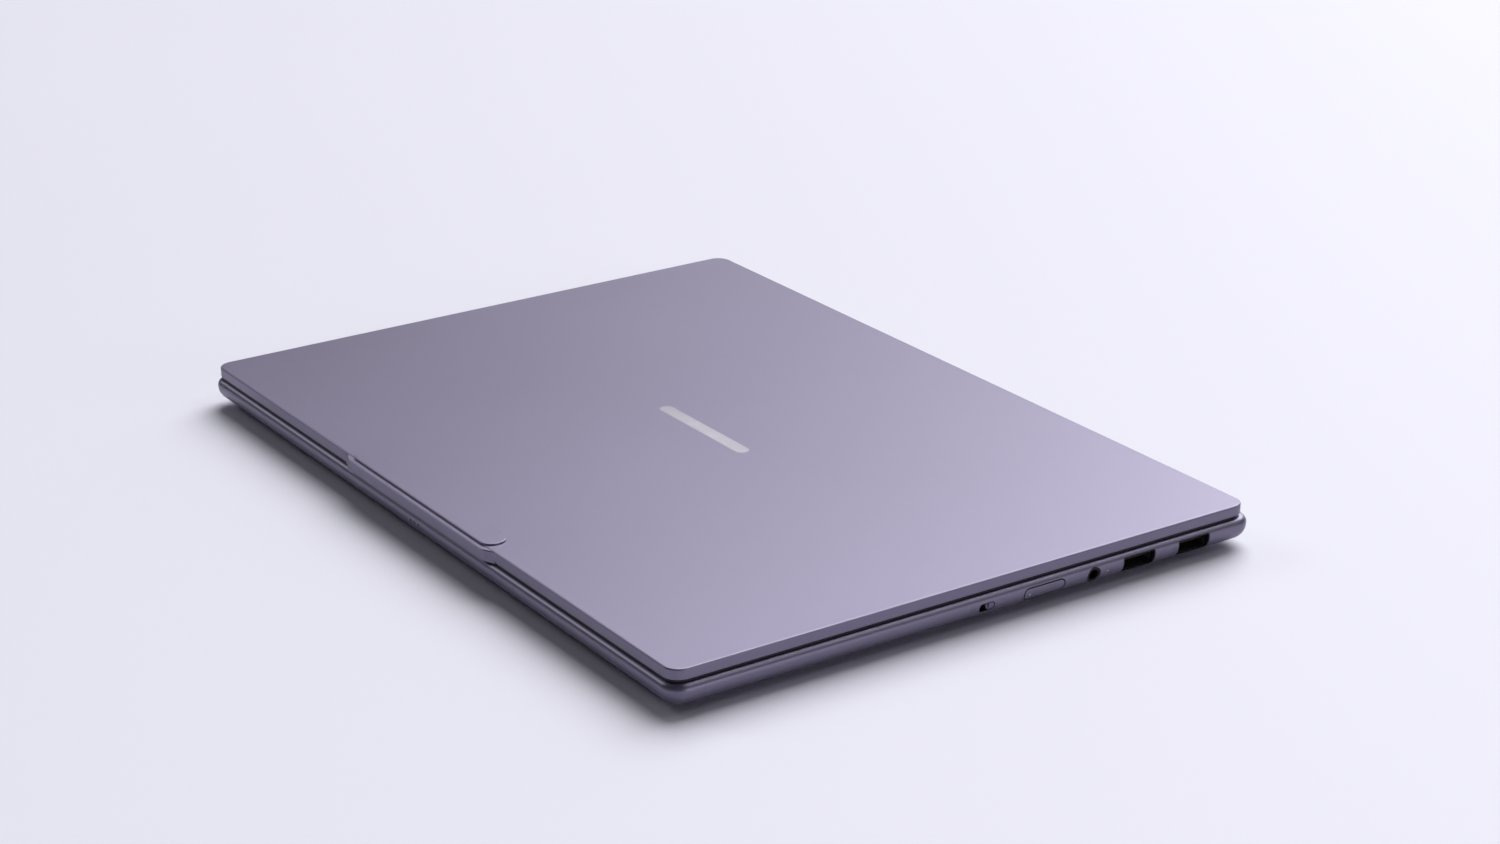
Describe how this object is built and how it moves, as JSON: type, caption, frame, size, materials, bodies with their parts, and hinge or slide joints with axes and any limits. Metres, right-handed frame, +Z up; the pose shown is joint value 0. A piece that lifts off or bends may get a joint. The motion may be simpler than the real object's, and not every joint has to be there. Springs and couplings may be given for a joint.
{
  "type": "laptop computer",
  "caption": "Slim clamshell laptop with a rounded metal base, a flat lid with a raised camera lip at the front, side ports and switches, and a full keyboard inside",
  "frame": {"origin": "centre of the outline on the plane that the rubber feet stand on", "axes": "+X to the user's right, +Y from the user to the hinge, +Z up"},
  "size_m": [0.312, 0.225, 0.0156],
  "materials": {
    "shell_aluminium": "satin anodised",
    "foot_rubber": "matt",
    "key_plastic": "matt",
    "black_plastic": "matt",
    "glass_black": "gloss",
    "steel": "satin",
    "bright_metal": "polished",
    "copper": "satin",
    "circuit_board": "matt",
    "light_lens": "gloss"
  },
  "bodies": {
    "base": {"audio_jack": "black_plastic", "base_magnets": "steel", "battery_cells": "black_plastic", "bottom_cover": "shell_aluminium", "bottom_screws": "steel", "camera_switch_housing": "black_plastic", "click_switches": "black_plastic", "fan_housing_left": "black_plastic", "fan_housing_right": "black_plastic", "front_feet": "foot_rubber", "hdmi_port": "steel", "heat_fins": "copper", "heat_pipe": "copper", "heat_spreader": "copper", "hinge_bracket_left": "steel", "hinge_bracket_right": "steel", "hinge_bracket_screws": "steel", "io_board": "circuit_board", "keyboard_backplate": "steel", "keyboard_frame": "black_plastic", "mainboard": "circuit_board", "microphone": "black_plastic", "plug_in_cards": "circuit_board", "rear_foot": "foot_rubber", "speaker_left": "black_plastic", "speaker_right": "black_plastic", "status_light": "light_lens", "top_case": "shell_aluminium", "usb_a_liners": "black_plastic", "usb_a_shell_front": "steel", "usb_a_shell_rear": "steel", "usb_a_tongues": "black_plastic", "usb_c_ports": "steel"},
    "lid": {"lid_cover": "shell_aluminium", "lid_badge": "bright_metal", "lid_magnets": "steel", "display_bezel": "black_plastic", "bezel_gasket": "foot_rubber", "display_panel": "glass_black", "display_board": "circuit_board", "camera_module": "black_plastic", "camera_lens": "glass_black", "hinge_cover": "black_plastic", "hinge_arm_left": "steel", "hinge_arm_right": "steel", "hinge_arm_screws": "steel", "hinge_pins": "steel"},
    "function_row_keys_body": {"function_row_keys": "key_plastic"},
    "number_row_keys_body": {"number_row_keys": "key_plastic"},
    "tab_row_keys_body": {"tab_row_keys": "key_plastic"},
    "home_row_keys_body": {"home_row_keys": "key_plastic"},
    "shift_row_keys_body": {"shift_row_keys": "key_plastic"},
    "modifier_keys_body": {"modifier_keys": "key_plastic"},
    "space_bar_body": {"space_bar": "key_plastic"},
    "arrow_keys_body": {"arrow_keys": "key_plastic"},
    "touchpad_body": {"touchpad": "glass_black"},
    "power_button_body": {"power_button": "shell_aluminium"},
    "camera_switch_knob_body": {"camera_switch_knob": "shell_aluminium"},
    "fan_rotor_left_body": {"fan_rotor_left": "black_plastic"},
    "fan_rotor_right_body": {"fan_rotor_right": "black_plastic"}
  },
  "joints": [
    {"name": "lid_hinge", "type": "hinge", "parent": "base", "child": "lid", "pos_m": [0, 0.1101, 0.008], "axis": [-1, 0, 0], "range_deg": [0, 135]},
    {"name": "function_row_keys_press", "type": "slide", "parent": "base", "child": "function_row_keys_body", "axis": [0, 0, -1], "range_m": [0, 0.0012], "stiffness_N_per_m": 400, "springref_m": -0.0015},
    {"name": "number_row_keys_press", "type": "slide", "parent": "base", "child": "number_row_keys_body", "axis": [0, 0, -1], "range_m": [0, 0.0012], "stiffness_N_per_m": 400, "springref_m": -0.0015},
    {"name": "tab_row_keys_press", "type": "slide", "parent": "base", "child": "tab_row_keys_body", "axis": [0, 0, -1], "range_m": [0, 0.0012], "stiffness_N_per_m": 400, "springref_m": -0.0015},
    {"name": "home_row_keys_press", "type": "slide", "parent": "base", "child": "home_row_keys_body", "axis": [0, 0, -1], "range_m": [0, 0.0012], "stiffness_N_per_m": 400, "springref_m": -0.0015},
    {"name": "shift_row_keys_press", "type": "slide", "parent": "base", "child": "shift_row_keys_body", "axis": [0, 0, -1], "range_m": [0, 0.0012], "stiffness_N_per_m": 400, "springref_m": -0.0015},
    {"name": "modifier_keys_press", "type": "slide", "parent": "base", "child": "modifier_keys_body", "axis": [0, 0, -1], "range_m": [0, 0.0012], "stiffness_N_per_m": 400, "springref_m": -0.0015},
    {"name": "space_bar_press", "type": "slide", "parent": "base", "child": "space_bar_body", "axis": [0, 0, -1], "range_m": [0, 0.0012], "stiffness_N_per_m": 400, "springref_m": -0.0015},
    {"name": "arrow_keys_press", "type": "slide", "parent": "base", "child": "arrow_keys_body", "axis": [0, 0, -1], "range_m": [0, 0.0012], "stiffness_N_per_m": 400, "springref_m": -0.0015},
    {"name": "touchpad_click", "type": "slide", "parent": "base", "child": "touchpad_body", "axis": [0, 0, -1], "range_m": [0, 0.0004], "stiffness_N_per_m": 2500, "springref_m": -0.0006},
    {"name": "power_button_press", "type": "slide", "parent": "base", "child": "power_button_body", "axis": [-1, 0, 0], "range_m": [0, 0.0005], "stiffness_N_per_m": 1500, "springref_m": -0.0005},
    {"name": "camera_switch_slide", "type": "slide", "parent": "base", "child": "camera_switch_knob_body", "axis": [0, -1, 0], "range_m": [0, 0.0022]},
    {"name": "fan_spin_left", "type": "hinge", "parent": "base", "child": "fan_rotor_left_body", "pos_m": [-0.098, 0.06125, 0.0046], "axis": [0, 0, 1], "continuous": true},
    {"name": "fan_spin_right", "type": "hinge", "parent": "base", "child": "fan_rotor_right_body", "pos_m": [0.098, 0.06125, 0.0046], "axis": [0, 0, 1], "continuous": true}
  ]
}
